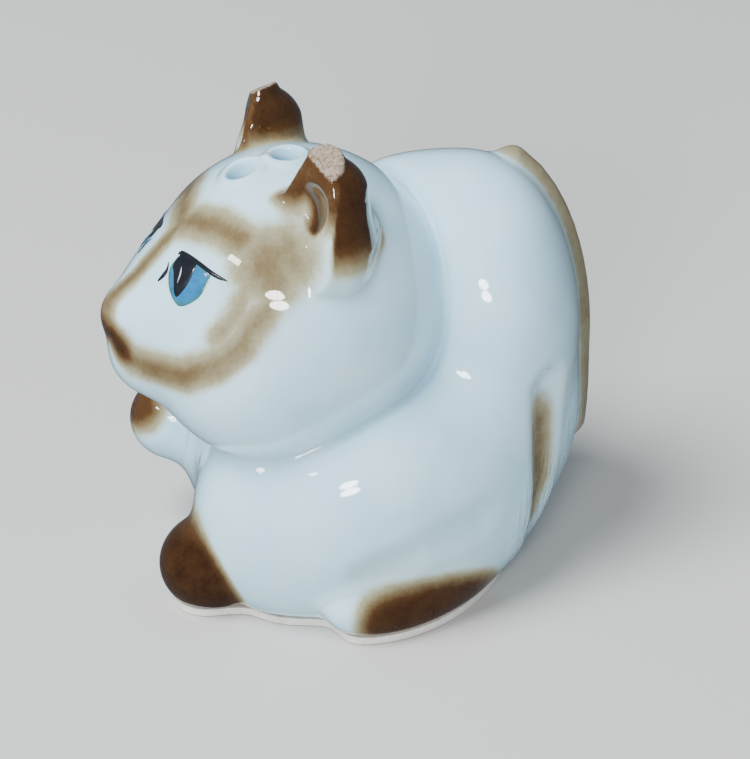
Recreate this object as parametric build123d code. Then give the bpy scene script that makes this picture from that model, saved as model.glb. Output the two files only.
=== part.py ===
from build123d import *

import math
import os

import numpy as np

# A hollow glazed porcelain shaker in the form of a crouching kitten.
# Millimetres and degrees. +Z is up, the kitten's body faces -Y and +X is its left side.
# The origin is the middle of the flat foot that it stands on.

# ---- Walls, foot and filler hole
WALL = 2.2
FOOT_RIM_HEIGHT = 0.8
FOOT_RIM_PROUD = 0.15
FOOT_PLATE_HEIGHT = 3.8
FOOT_BOSS_RADIUS = 10.4
STOPPER_RECESS_RADIUS = 8.4
STOPPER_RECESS_DEPTH = 2.0
FILLER_HOLE_RADIUS = 5.6
FILLER_HOLE_Y = -1.0

# ---- Stopper
STOPPER_CLEARANCE = 0.05
STOPPER_CAP_RADIUS = 7.8
STOPPER_CAP_THICKNESS = 1.0
STOPPER_CAP_ROUND = 0.3
STOPPER_PLUG_HEIGHT = 3.2
STOPPER_PLUG_TAPER = 0.25
STOPPER_CUP_RADIUS = 3.9
STOPPER_CUP_DEPTH = 2.6
STOPPER_TAB_SIZE = (8.4, 1.6, 0.8)
STOPPER_TAB_ROUND = 0.35

# ---- Head: everything below is in the head's own axes, from the middle of the skull
HEAD_CENTRE = (0.5, -9.8, 32.3)
HEAD_TURN = 13.5
SKULL_RADII = (16.2, 16.2, 16.6)
POUR_HOLE_RADIUS = 1.65
POUR_HOLE_PLACES = (-5.3, -0.4)
POUR_HOLE_REACH = 12.0
NECK_BORE_RADIUS = 5.5
NECK_BORE_TILT = 42.0
NECK_BORE_START = 8.0
NECK_BORE_END = 23.0

# ---- Ear: corners of its hollow front face, in the head's axes, left side
EAR_TIP = (10.1, -0.4, 21.2)
EAR_INNER_CORNER = (6.7, -3.3, 15.1)
EAR_OUTER_CORNER = (14.2, -2.4, 7.9)
EAR_POINT_RADIUS = 1.1
EAR_POINT_DROP = 1.1
EAR_BACK_TOP = (9.9, 1.1, 16.4)
EAR_BACK_TOP_RADIUS = 2.8
EAR_BACK_FOOT = (9.2, 1.2, 11.6)
EAR_BACK_FOOT_RADIUS = 4.7
EAR_SIDE_FOOT = (12.0, 0.6, 9.0)
EAR_SIDE_FOOT_RADIUS = 3.4
EAR_EDGE_RADIUS = 1.9
EAR_EDGE_INSET = 1.5
EAR_EDGE_SETBACK = 0.7
EAR_SCOOP_RADIUS = 5.3
EAR_SCOOP_OFFSET = 3.7
EAR_SCOOP_HEIGHT = 0.34
EAR_LOWEST = 8.3

# ---- Front paw, raised foreleg, hind feet and tail
HIND_FOOT_CENTRE = (12.6, 1.0, 3.6)
HIND_FOOT_RADII = (6.0, 11.2, 5.4)
HIND_FOOT_TURN = 33.0
FRONT_PAW_CENTRE = (8.0, -19.6, 4.6)
FRONT_PAW_RADII = (5.2, 6.0, 5.6)
FRONT_WRIST_CENTRE = (8.6, -16.0, 10.4)
FRONT_WRIST_RADII = (4.2, 4.8, 6.6)
RAISED_PAW_CENTRE = (-9.0, -22.0, 13.4)
RAISED_PAW_RADII = (5.0, 5.4, 4.9)
RAISED_ARM_CENTRE = (-9.6, -14.0, 12.6)
RAISED_ARM_RADII = (5.0, 8.0, 5.2)
TAIL_PIVOT = (-1.0, 9.0, 24.0)
TAIL_LEAN = -3.2
TAIL_ANGLES = (-40.0, 72.0)
TAIL_POINTS = 9
TAIL_RADIUS = 1.9

# ---- How finely a modelled form is sampled before it is skinned
RING_POINTS = 40
RINGS = 15
EAR_RINGS = 12
POLE_ANGLE = 80.0
SEARCH_STEPS = 30
SEARCH_SAMPLES = 100
SEARCH_REACH = 33.0
POLE_GAP = 0.12


class Blob:
    """An ellipsoid of clay: its middle, radii, turn about Z and how softly it joins the rest."""

    def __init__(self, centre, radii, turn=0.0, blend=4.0):
        self.centre = np.array(centre, float)
        self.radii = np.array(radii, float)
        self.blend = blend
        angle = math.radians(turn)
        self.axes = np.array([[math.cos(angle), -math.sin(angle), 0.0],
                              [math.sin(angle), math.cos(angle), 0.0],
                              [0.0, 0.0, 1.0]])

    def distance(self, points):
        local = (points - self.centre) @ self.axes
        near = np.sqrt(((local / self.radii) ** 2).sum(-1))
        slope = np.sqrt(((local / self.radii ** 2) ** 2).sum(-1))
        return near * (near - 1.0) / np.maximum(slope, 1e-9)


def mirrored_pair(centre, radii, turn=0.0, blend=4.0):
    """The same blob on the left and on the right side."""
    x, y, z = centre
    return [Blob((x, y, z), radii, turn, blend), Blob((-x, y, z), radii, -turn, blend)]


def soft_union(first, second, blend):
    overlap = np.maximum(blend - np.abs(first - second), 0.0) / blend
    return np.minimum(first, second) - overlap ** 2 * blend / 4.0


def soft_cut(kept, cutter, blend):
    return -soft_union(-kept, cutter, blend)


def rod_distance(points, start, end, start_radius, end_radius):
    """Distance to a round rod that tapers from one end to the other."""
    start = np.array(start, float)
    along = np.array(end, float) - start
    share = np.clip(((points - start) @ along) / (along @ along), 0.0, 1.0)
    gap = points - start - share[..., None] * along
    return np.linalg.norm(gap, axis=-1) - (start_radius + (end_radius - start_radius) * share)


def blobs_distance(blobs, points):
    distance = blobs[0].distance(points)
    for blob in blobs[1:]:
        distance = soft_union(distance, blob.distance(points), blob.blend)
    return distance


# ---- The forms

RUMP_CENTRE = (-2.5, 11.6, 27.0)

SKULL_BLOBS = [
    Blob((0.0, 0.2, 0.0), SKULL_RADII),
    Blob((0.0, -12.2, -0.4), (7.4, 7.6, 6.6), blend=6.0),         # muzzle
    *mirrored_pair((6.6, -7.0, -5.4), (7.2, 7.5, 7.0), blend=6.0),  # cheeks
    Blob((0.0, -18.3, 1.4), (2.6, 2.4, 2.2), blend=3.0),          # nose
    Blob((0.0, -16.2, -4.0), (4.0, 3.6, 3.2), blend=3.0),         # chin
]

TORSO_BLOBS = [
    Blob(RUMP_CENTRE, (14.0, 10.4, 19.5)),                        # rump, raised high
    Blob((-7.6, 2.5, 23.4), (11.0, 13.5, 19.9), blend=9.0),       # far flank, the outside of the curl
    Blob((0.0, 10.0, 15.5), (7.0, 11.6, 14.0), blend=3.0),        # root of the back
    Blob((0.0, -1.0, 6.6), (15.0, 16.0, 8.6), blend=6.0),         # belly, flat to the table
    Blob((0.0, -8.5, 12.0), (12.0, 11.5, 12.0), blend=5.0),       # chest
    *mirrored_pair((9.8, 2.6, 12.2), (8.6, 15.0, 13.6), turn=26.0, blend=5.0),   # thighs
    *mirrored_pair((8.5, -10.6, 10.0), (9.0, 11.0, 12.0), blend=5.0),            # shoulders
]

# Creases in the torso's left side, mirrored on its right: their path, radius and softness.
THIGH_CREASE = (((8.8, 17.2, 1.0), (9.7, 17.6, 12.0), (10.5, 17.3, 24.0)), 2.3, 1.8)
FOOT_CREASE = (((20.9, -4.2, 8.3), (21.1, 2.4, 11.4), (17.8, 9.0, 12.4)), 1.6, 2.0)


def skull_distance(points):
    return blobs_distance(SKULL_BLOBS, points)


def crease_distance(points, path, radius):
    """Distance to a groove: rods end to end along its path."""
    return np.stack([rod_distance(points, start, end, radius, radius)
                     for start, end in zip(path[:-1], path[1:])]).min(0)


def torso_distance(points):
    """The torso with the creases behind each thigh and over each hind foot."""
    distance = blobs_distance(TORSO_BLOBS, points)
    for side in (1.0, -1.0):
        flipped = points * np.array([side, 1.0, 1.0])
        for path, radius, softness in (THIGH_CREASE, FOOT_CREASE):
            distance = soft_cut(distance, crease_distance(flipped, path, radius), softness)
    return distance


def ear_distance(points):
    """A left ear in the head's axes: a full round back, two crisp edges and a scooped face."""
    tip = np.array(EAR_TIP)
    inner = np.array(EAR_INNER_CORNER)
    outer = np.array(EAR_OUTER_CORNER)
    facing = np.cross(inner - tip, outer - tip)
    facing = facing / np.linalg.norm(facing) * -np.sign(facing[1])
    across = (outer - inner) / np.linalg.norm(outer - inner)
    point = tip - facing * EAR_EDGE_SETBACK - np.array([0.0, 0.0, EAR_POINT_DROP])
    distance = rod_distance(points, point, EAR_BACK_TOP, EAR_POINT_RADIUS, EAR_BACK_TOP_RADIUS)
    for foot, radius in ((EAR_BACK_FOOT, EAR_BACK_FOOT_RADIUS), (EAR_SIDE_FOOT, EAR_SIDE_FOOT_RADIUS)):
        back = rod_distance(points, foot, EAR_BACK_TOP, radius, EAR_BACK_TOP_RADIUS)
        distance = soft_union(distance, back, 2.0)
    for corner, inset in ((inner, EAR_EDGE_INSET), (outer, -EAR_EDGE_INSET)):
        foot = corner + across * inset - facing * EAR_EDGE_SETBACK
        edge = rod_distance(points, foot, point, EAR_EDGE_RADIUS, EAR_POINT_RADIUS)
        distance = soft_union(distance, edge, 1.6)
    distance = soft_cut(distance, -((points - tip) @ facing), 0.4)
    scoop_middle = (inner + outer) / 2.0 * (1.0 - EAR_SCOOP_HEIGHT) + tip * EAR_SCOOP_HEIGHT
    scoop_middle = scoop_middle + facing * EAR_SCOOP_OFFSET
    scoop = np.linalg.norm(points - scoop_middle, axis=-1) - EAR_SCOOP_RADIUS
    return soft_cut(distance, scoop, 0.6)


def front_paw_distance(points):
    return blobs_distance([Blob(FRONT_PAW_CENTRE, FRONT_PAW_RADII),
                           Blob(FRONT_WRIST_CENTRE, FRONT_WRIST_RADII, blend=3.0)], points)


def raised_foreleg_distance(points):
    return blobs_distance([Blob(RAISED_PAW_CENTRE, RAISED_PAW_RADII),
                           Blob(RAISED_ARM_CENTRE, RAISED_ARM_RADII, blend=3.0)], points)


def hind_foot_distance(points):
    return Blob(HIND_FOOT_CENTRE, HIND_FOOT_RADII, HIND_FOOT_TURN).distance(points)


# ---- Skinning a form with level rings

def ring_points(form, level, middle, height):
    """The form's outline at one height: the outermost crossing on each ray from its middle."""
    angles = np.linspace(0.0, 2.0 * math.pi, RING_POINTS, endpoint=False)
    rays = np.stack([np.cos(angles), np.sin(angles), np.zeros_like(angles)], -1)
    start = np.array([middle[0], middle[1], height])
    reaches = np.linspace(0.0, SEARCH_REACH, SEARCH_SAMPLES)
    solid = form(start + rays[:, None] * reaches[None, :, None]) < level
    last_solid = SEARCH_SAMPLES - 1 - np.argmax(solid[:, ::-1], axis=1)
    inside = reaches[last_solid]
    outside = inside + reaches[1]
    for _ in range(SEARCH_STEPS):
        halfway = (inside + outside) / 2.0
        solid = form(start + rays * halfway[:, None]) < level
        inside = np.where(solid, halfway, inside)
        outside = np.where(solid, outside, halfway)
    return [Vector(*point) for point in start + rays * inside[:, None]]


def ring_face(form, level, middle, height):
    return Face(Wire([Edge.make_spline(ring_points(form, level, middle, height), periodic=True)]))


def pole_height(form, level, middle, inside, outside):
    """Where the surface crosses the upright line through a middle, between two heights."""
    for _ in range(SEARCH_STEPS):
        halfway = (inside + outside) / 2.0
        if form(np.array([[middle[0], middle[1], halfway]]))[0] < level:
            inside = halfway
        else:
            outside = halfway
    return inside


def round_heights(low, high, low_angle=-POLE_ANGLE):
    """Heights that crowd towards a rounded end, as the parallels of a globe do."""
    angles = np.radians(np.linspace(low_angle, POLE_ANGLE, RINGS))
    parallels = np.sin(angles)
    share = (parallels - parallels[0]) / (parallels[-1] - parallels[0])
    return [float(low + (high - low) * part) for part in share]


def skin(form, level, bottom_middle, top_middle, heights):
    """A smooth solid through level rings of the form; its middle line slants from foot to top."""
    rings = []
    for height in heights:
        share = (height - heights[0]) / (heights[-1] - heights[0])
        middle = [low + (high - low) * share for low, high in zip(bottom_middle, top_middle)]
        rings.append(ring_face(form, level, middle, height))
    return loft(rings)


def largest(shape):
    """The biggest solid of a cut, without the slivers that fall away from it."""
    return max(shape.solids(), key=lambda solid: solid.volume)


# ---- Building blocks that several pieces share

def place_on_head(shape):
    return Pos(*HEAD_CENTRE) * Rot(0, 0, HEAD_TURN) * shape


def head_form(level):
    middle = (0.0, 0.0)
    top = pole_height(skull_distance, level, middle, 0.0, 2.0 * SKULL_RADII[2])
    bottom = pole_height(skull_distance, level, middle, 0.0, -2.0 * SKULL_RADII[2])
    heights = round_heights(bottom + POLE_GAP, top - POLE_GAP)
    return place_on_head(skin(skull_distance, level, middle, middle, heights))


def torso_form(level, foot_height):
    top_middle = RUMP_CENTRE[:2]
    top = pole_height(torso_distance, level, top_middle, RUMP_CENTRE[2], 2.0 * RUMP_CENTRE[2])
    heights = round_heights(foot_height, top - POLE_GAP, low_angle=-25.0)
    return skin(torso_distance, level, (0.0, 0.0), top_middle, heights)


def neck_bore():
    """The passage that lets the filling run from the body into the head."""
    bore = Pos(0, 0, -(NECK_BORE_START + NECK_BORE_END) / 2.0) * Cylinder(
        NECK_BORE_RADIUS, NECK_BORE_END - NECK_BORE_START)
    return place_on_head(Rot(NECK_BORE_TILT, 0, 0) * bore)


def footprint_distance(points):
    """Everything that stands on the table: torso, hind feet and the left front paw."""
    mirrored = points * np.array([-1.0, 1.0, 1.0])
    distance = soft_union(torso_distance(points), front_paw_distance(points), 1.0)
    distance = soft_union(distance, hind_foot_distance(points), 1.0)
    return soft_union(distance, hind_foot_distance(mirrored), 1.0)


# ---- The pieces

def make_head_shell(head, bore):
    shell = head - head_form(-WALL) - bore
    for place in POUR_HOLE_PLACES:
        hole = Pos(0, place, SKULL_RADII[2]) * Cylinder(POUR_HOLE_RADIUS, POUR_HOLE_REACH)
        shell = shell - place_on_head(hole)
    return largest(shell)


def make_body_shell(torso, head, bore):
    cavity = largest(torso_form(-WALL, FOOT_PLATE_HEIGHT) - head_form(WALL))
    boss = Pos(0, FILLER_HOLE_Y, 0) * Cylinder(FOOT_BOSS_RADIUS, 2.0 * FOOT_PLATE_HEIGHT)
    return largest(torso - head - cavity - bore - boss)


def make_ear(head, side):
    middle_low = EAR_BACK_FOOT[:2]
    middle_high = (EAR_TIP[0] - EAR_EDGE_SETBACK / 2.0, EAR_TIP[1] + EAR_EDGE_SETBACK)
    top = pole_height(ear_distance, 0.0, middle_high, EAR_TIP[2] - 2.0, EAR_TIP[2] + 3.0)
    rise = (top - POLE_GAP - EAR_LOWEST) / (EAR_RINGS - 1)
    heights = [EAR_LOWEST + rise * index for index in range(EAR_RINGS)]
    ear = skin(ear_distance, 0.0, middle_low, middle_high, heights)
    if side == "right":
        ear = mirror(ear, Plane.YZ)
    return largest(place_on_head(ear) - head)


def make_front_paw(torso):
    top_middle = FRONT_WRIST_CENTRE[:2]
    top = FRONT_WRIST_CENTRE[2] + FRONT_WRIST_RADII[2]
    heights = round_heights(FOOT_RIM_HEIGHT, top - POLE_GAP, low_angle=-30.0)
    paw = skin(front_paw_distance, 0.0, FRONT_PAW_CENTRE[:2], top_middle, heights)
    return largest(paw - torso)


def make_raised_foreleg(torso, head):
    middle = ((RAISED_PAW_CENTRE[0] + RAISED_ARM_CENTRE[0]) / 2.0,
              (RAISED_PAW_CENTRE[1] + RAISED_ARM_CENTRE[1]) / 2.0)
    centre = RAISED_PAW_CENTRE[2]
    top = pole_height(raised_foreleg_distance, 0.0, middle, centre, centre + 9.0)
    bottom = pole_height(raised_foreleg_distance, 0.0, middle, centre, centre - 9.0)
    heights = round_heights(bottom + POLE_GAP, top - POLE_GAP)
    leg = skin(raised_foreleg_distance, 0.0, middle, middle, heights)
    return largest(leg - torso - head)


def make_hind_foot(torso, side):
    middle = HIND_FOOT_CENTRE[:2]
    top = HIND_FOOT_CENTRE[2] + HIND_FOOT_RADII[2]
    heights = round_heights(FOOT_RIM_HEIGHT, top - POLE_GAP, low_angle=-40.0)
    foot = skin(hind_foot_distance, 0.0, middle, middle, heights)
    if side == "right":
        foot = mirror(foot, Plane.YZ)
    return largest(foot - torso)


def tail_path():
    """The tail's middle line, laid on the surface of the rump from the seat up to the back."""
    path = []
    for angle in np.radians(np.linspace(*TAIL_ANGLES, TAIL_POINTS)):
        across = TAIL_LEAN * (1.0 + math.sin(angle))
        ray = np.array([0.0, math.cos(angle), math.sin(angle)])
        start = np.array(TAIL_PIVOT) + np.array([across, 0.0, 0.0])
        inside, outside = 0.0, SEARCH_REACH
        for _ in range(SEARCH_STEPS):
            halfway = (inside + outside) / 2.0
            if torso_distance((start + ray * halfway)[None, :])[0] < 0.0:
                inside = halfway
            else:
                outside = halfway
        path.append(Vector(*(start + ray * inside)))
    return path


def make_tail(torso):
    points = tail_path()
    path = Edge.make_spline(points)
    tail = sweep(Plane(path @ 0, z_dir=path % 0) * Circle(TAIL_RADIUS), path)
    for end in (points[0], points[-1]):
        tail = tail + Pos(end.X, end.Y, end.Z) * Sphere(TAIL_RADIUS)
    return largest(tail - torso)


def make_foot_plate():
    """The flat unglazed foot: a thin sole, and a boss that closes the body round the stopper."""
    sole = extrude(ring_face(footprint_distance, FOOT_RIM_PROUD, (0.0, 0.0), FOOT_RIM_HEIGHT),
                   amount=FOOT_RIM_HEIGHT, dir=(0, 0, -1))
    boss = Pos(0, FILLER_HOLE_Y, FOOT_PLATE_HEIGHT / 2.0) * Cylinder(FOOT_BOSS_RADIUS, FOOT_PLATE_HEIGHT)
    recess = Pos(0, FILLER_HOLE_Y, 0) * Cylinder(STOPPER_RECESS_RADIUS, 2.0 * STOPPER_RECESS_DEPTH)
    hole = Pos(0, FILLER_HOLE_Y, 0) * Cylinder(FILLER_HOLE_RADIUS, 3.0 * FOOT_PLATE_HEIGHT)
    return largest(sole + boss - recess - hole)


def make_stopper():
    """A soft cup-shaped plug: a thin cap in the recess, a plug in the hole and a pull tab below."""
    plug_radius = FILLER_HOLE_RADIUS - STOPPER_CLEARANCE
    cap_top = STOPPER_RECESS_DEPTH
    cap_bottom = cap_top - STOPPER_CAP_THICKNESS
    cap = Pos(0, 0, (cap_top + cap_bottom) / 2.0) * Cylinder(STOPPER_CAP_RADIUS, STOPPER_CAP_THICKNESS)
    cap = fillet(cap.edges().group_by(Axis.Z)[0], STOPPER_CAP_ROUND)
    plug = Pos(0, 0, cap_top + STOPPER_PLUG_HEIGHT / 2.0) * Cone(
        plug_radius, plug_radius - STOPPER_PLUG_TAPER, STOPPER_PLUG_HEIGHT)
    cup_top = cap_top + STOPPER_PLUG_HEIGHT
    cup = Pos(0, 0, cup_top - STOPPER_CUP_DEPTH / 2.0) * Cylinder(STOPPER_CUP_RADIUS, STOPPER_CUP_DEPTH)
    tab = Pos(0, 0, cap_bottom - STOPPER_TAB_SIZE[2] / 2.0) * Box(*STOPPER_TAB_SIZE)
    tab = fillet(tab.edges().filter_by(Axis.Z), STOPPER_TAB_ROUND)
    return Pos(0, FILLER_HOLE_Y, 0) * (cap + plug - cup + tab)


def main():
    os.makedirs("parts", exist_ok=True)
    head = head_form(0.0)
    torso = torso_form(0.0, FOOT_RIM_HEIGHT)
    bore = neck_bore()
    pieces = {
        "head_shell": make_head_shell(head, bore),
        "body_shell": make_body_shell(torso, head, bore),
        "left_ear": make_ear(head, "left"),
        "right_ear": make_ear(head, "right"),
        "left_front_paw": make_front_paw(torso),
        "right_foreleg": make_raised_foreleg(torso, head),
        "left_hind_foot": make_hind_foot(torso, "left"),
        "right_hind_foot": make_hind_foot(torso, "right"),
        "tail": make_tail(torso),
        "foot_plate": make_foot_plate(),
        "stopper": make_stopper(),
    }
    for name, piece in pieces.items():
        export_step(piece, f"parts/{name}.step")


main()
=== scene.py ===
from collections import Counter, namedtuple
import math

import bpy
import numpy as np
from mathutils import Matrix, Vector


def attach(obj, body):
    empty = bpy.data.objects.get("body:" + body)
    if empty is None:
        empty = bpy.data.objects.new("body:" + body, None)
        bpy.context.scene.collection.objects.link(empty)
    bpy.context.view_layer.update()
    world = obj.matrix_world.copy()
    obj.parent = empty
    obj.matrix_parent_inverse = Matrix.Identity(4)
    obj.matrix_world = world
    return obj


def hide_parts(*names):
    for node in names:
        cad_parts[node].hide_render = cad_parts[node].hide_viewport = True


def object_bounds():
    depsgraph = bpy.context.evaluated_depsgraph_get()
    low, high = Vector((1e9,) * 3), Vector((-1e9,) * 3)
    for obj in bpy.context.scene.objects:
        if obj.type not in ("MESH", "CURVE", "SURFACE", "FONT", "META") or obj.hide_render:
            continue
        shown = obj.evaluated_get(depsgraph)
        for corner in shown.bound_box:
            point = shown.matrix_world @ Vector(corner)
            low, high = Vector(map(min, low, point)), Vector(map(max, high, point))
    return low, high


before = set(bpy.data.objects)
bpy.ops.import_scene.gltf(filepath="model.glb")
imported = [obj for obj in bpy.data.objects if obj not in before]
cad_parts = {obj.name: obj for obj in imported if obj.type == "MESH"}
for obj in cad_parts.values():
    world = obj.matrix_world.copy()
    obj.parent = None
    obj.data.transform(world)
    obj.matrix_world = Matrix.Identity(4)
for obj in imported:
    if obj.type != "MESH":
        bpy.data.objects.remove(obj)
cad_low, cad_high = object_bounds()

# All forms are in millimetres in the frame's own axes: +Z up, the body faces -Y, +X is its left
# side. They follow the CAD pieces' forms, blended where the slip joined the clay.
MM = 0.001

# ---- Mesh
NET_STEP = 0.3
NET_MARGIN = 1.5
COARSE = 4
NEAR_CELLS = 2.2
SETTLE_STEPS = 3
SLOPE_REACH = 0.02
TINY = 1e-9

# ---- Foot: the plate and the well over it that the glazed skin leaves free
SOLE_TOP = 0.8
EDGE_ROUND = 0.5
STOPPER_Y = -1.0
BOSS_RADIUS = 10.4
BOSS_TOP = 3.8
BOSS_GAP = 0.05
WELL_CENTRE = (0.0, STOPPER_Y, 5.0)
WELL_RADII = (9.0, 9.0, 7.5)

# ---- Head: everything on it is in the head's own axes, from the middle of the skull
HEAD_CENTRE = np.array([0.5, -9.8, 32.3])
HEAD_TURN = math.radians(13.5)
HEAD_AXES = np.array([[math.cos(HEAD_TURN), -math.sin(HEAD_TURN), 0.0],
                      [math.sin(HEAD_TURN), math.cos(HEAD_TURN), 0.0],
                      [0.0, 0.0, 1.0]])
FLIP = np.array([-1.0, 1.0, 1.0])

# Ellipsoids are blended on in the order that they are listed, paired ones on both sides.
Blob = namedtuple("Blob", "centre radii blend turn paired", defaults=(0.0, 0.0, False))

SKULL = (
    Blob((0.0, 0.2, 0.0), (16.2, 16.2, 16.6)),                             # cranium
    Blob((0.0, -12.2, -0.4), (7.4, 7.6, 6.6), blend=6.0),                  # muzzle
    Blob((6.6, -7.0, -5.4), (7.2, 7.5, 7.0), blend=6.0, paired=True),      # cheeks
    Blob((0.0, -18.3, 1.4), (2.6, 2.4, 2.2), blend=3.0),                   # nose
    Blob((0.0, -16.2, -4.0), (4.0, 3.6, 3.2), blend=3.0),                  # chin
)
POUR_HOLE_PLACES = ((0.0, -5.3, 15.65), (0.0, -0.4, 16.6))
POUR_HOLE_RADIUS = 1.55
POUR_HOLE_DEPTH = 7.0
POUR_HOLE_ROUND = 0.5
RING_PROUD = 0.45
RING_RADIUS = 0.32
RING_BLEND = 0.9
FAR = 9.0

# ---- Ear: corners of its open face, left side
EAR_TIP = np.array([10.1, -0.4, 21.2])
EAR_INNER_CORNER = np.array([6.7, -3.3, 15.1])
EAR_OUTER_CORNER = np.array([14.2, -2.4, 7.9])
EAR_FACING = np.cross(EAR_OUTER_CORNER - EAR_TIP, EAR_INNER_CORNER - EAR_TIP)
EAR_FACING /= -np.linalg.norm(EAR_FACING)
EAR_ACROSS = EAR_OUTER_CORNER - EAR_INNER_CORNER
EAR_ACROSS /= np.linalg.norm(EAR_ACROSS)
EAR_POINT = EAR_TIP - EAR_FACING * 0.5 - EAR_ACROSS * 0.4 - np.array([0.0, -0.2, 1.1])
EAR_POINT_RADIUS = 1.1
EAR_BACK_TOP = np.array([9.9, 1.1, 16.4])
EAR_BACK_TOP_RADIUS = 2.8
EAR_BACK_FEET = ((np.array([9.2, 1.2, 11.6]), 4.7), (np.array([12.0, 0.6, 9.0]), 3.4))
EAR_BACK_BLEND = 2.0
EAR_EDGE_FEET = (EAR_INNER_CORNER + EAR_ACROSS * 1.5, EAR_OUTER_CORNER - EAR_ACROSS * 1.6)
EAR_EDGE_RADIUS = 1.9
EAR_EDGE_SETBACK = 0.7
EAR_EDGE_BLEND = 1.6
EAR_EDGE_ROUND = 0.35
EAR_SCOOP_CENTRE = (EAR_INNER_CORNER + EAR_OUTER_CORNER) * 0.33 + EAR_TIP * 0.34 + EAR_FACING * 3.9
EAR_SCOOP_RADIUS = 5.0
EAR_SCOOP_ROUND = 0.5
EAR_CHIP_SHARE = 0.12
EAR_CHIP_FACING = np.array([0.42, -0.25, 0.872])
EAR_CHIP_ROUND = 0.15

# ---- Torso and limbs
HIND_FOOT_TURN = 33.0
TORSO = (
    Blob((-2.5, 11.4, 26.0), (14.0, 10.4, 19.0)),                          # rump
    Blob((-7.6, 2.5, 23.4), (11.0, 13.5, 19.9), blend=9.0),                # arched back
    Blob((0.0, 10.0, 15.5), (7.0, 11.6, 14.0), blend=3.0),                 # seat
    Blob((0.0, -1.0, 6.6), (15.0, 16.0, 8.6), blend=6.0),                  # belly
    Blob((0.0, -8.5, 12.0), (12.0, 11.5, 12.0), blend=5.0),                # chest
    Blob((9.8, 2.6, 12.2), (8.6, 15.0, 13.6), blend=5.0, turn=26.0, paired=True),   # thighs
    Blob((8.5, -10.6, 10.0), (9.0, 11.0, 12.0), blend=5.0, paired=True),   # shoulders
)
# Creases on both sides of the torso, as path, radius and blend: behind the thigh, over the foot.
CREASES = ((((8.8, 17.2, 1.0), (9.7, 17.6, 12.0), (10.5, 17.3, 24.0)), 2.3, 1.8),
           (((20.9, -4.2, 8.3), (21.1, 2.4, 11.4), (18.0, 8.6, 12.6), (17.8, 13.4, 14.0)), 1.6, 2.2))
# The bed that the back of the head rests in, in the head's axes.
NAPE_CENTRE = (0.0, 0.4, 0.3)
NAPE_RADIUS = 16.3
NAPE_BLEND = 2.5
FRONT_PAW = (
    Blob((8.0, -19.6, 4.6), (5.2, 6.0, 5.6)),                              # toes
    Blob((8.6, -16.0, 10.4), (4.2, 4.8, 6.6), blend=3.0),                  # wrist
)
RAISED_FORELEG = (
    Blob((-9.0, -22.0, 13.4), (5.0, 5.4, 4.9)),                            # paw
    Blob((-9.6, -14.0, 12.6), (5.0, 8.0, 5.2), blend=3.0),                 # arm
)
HIND_FOOT = (Blob((12.6, 1.0, 3.6), (6.0, 11.2, 5.4), turn=HIND_FOOT_TURN),)

# ---- Tail: laid on the rump, on a fan of rays from a pivot inside it
TAIL_PIVOT = np.array([-1.0, 9.0, 24.0])
TAIL_LEAN = -3.2
TAIL_ANGLES = (-40.0, 72.0)
TAIL_POINTS = 17
TAIL_REACHES = np.linspace(0.0, 33.0, 331)
TAIL_RADIUS = 1.9


# ---- Fields: distance-like functions, negative inside the clay

def soft_union(first, second, blend):
    """Both forms, with the crease between them filled over a width of about blend."""
    overlap = np.maximum(blend - np.abs(first - second), 0.0) / blend
    return np.minimum(first, second) - overlap ** 2 * blend / 4.0


def soft_cut(kept, cutter, blend):
    """What is left of a form outside the cutter, with the new edge eased."""
    return -soft_union(-kept, cutter, blend)


def blob(points, centre, radii, turn=0.0):
    """An ellipsoid, turned about Z by so many degrees."""
    local = points - np.array(centre)
    if turn:
        c, s = math.cos(math.radians(turn)), math.sin(math.radians(turn))
        local = local @ np.array([[c, -s, 0.0], [s, c, 0.0], [0.0, 0.0, 1.0]])
    radii = np.array(radii)
    near = np.sqrt(((local / radii) ** 2).sum(-1))
    slope = np.sqrt(((local / radii ** 2) ** 2).sum(-1))
    return near * (near - 1.0) / np.maximum(slope, TINY)


def rod(points, start, end, start_radius, end_radius):
    """A round rod that tapers from one end to the other."""
    start = np.array(start, float)
    along = np.array(end, float) - start
    share = np.clip(((points - start) @ along) / (along @ along), 0.0, 1.0)
    gap = np.linalg.norm(points - start - share[..., None] * along, axis=-1)
    return gap - (start_radius + (end_radius - start_radius) * share)


def chain(points, path, radius):
    """Rods end to end along a path."""
    return np.stack([rod(points, start, end, radius, radius)
                     for start, end in zip(path[:-1], path[1:])]).min(0)


def modelled(points, blobs):
    """Ellipsoids blended together in their order."""
    distance = None
    for item in blobs:
        for side in (points, points * FLIP) if item.paired else (points,):
            own = blob(side, item.centre, item.radii, item.turn)
            distance = own if distance is None else soft_union(distance, own, item.blend)
    return distance


def in_head(points):
    """The frame's points in the head's own axes."""
    return (points - HEAD_CENTRE) @ HEAD_AXES


def from_head(points):
    return np.asarray(points) @ HEAD_AXES.T + HEAD_CENTRE


def mirrored(points):
    """Both sides folded onto the left one."""
    return np.concatenate([np.abs(points[..., :1]), points[..., 1:]], axis=-1)


def skull(points):
    return modelled(points, SKULL)


def head(points):
    """The skull with its two pour holes and the soft glazed ring round each."""
    local = in_head(points)
    distance = skull(local)
    for centre in POUR_HOLE_PLACES:
        across = np.hypot(local[..., 0] - centre[0], local[..., 1] - centre[1])
        ring = np.hypot(across - POUR_HOLE_RADIUS - RING_PROUD, distance) - RING_RADIUS
        ring = np.where(local[..., 2] > 0.0, ring, FAR)
        distance = soft_union(distance, ring, RING_BLEND)
        depth = np.abs(local[..., 2] - centre[2]) - POUR_HOLE_DEPTH
        hole = np.maximum(across - POUR_HOLE_RADIUS, depth)
        distance = soft_cut(distance, hole, POUR_HOLE_ROUND)
    return distance


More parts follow.
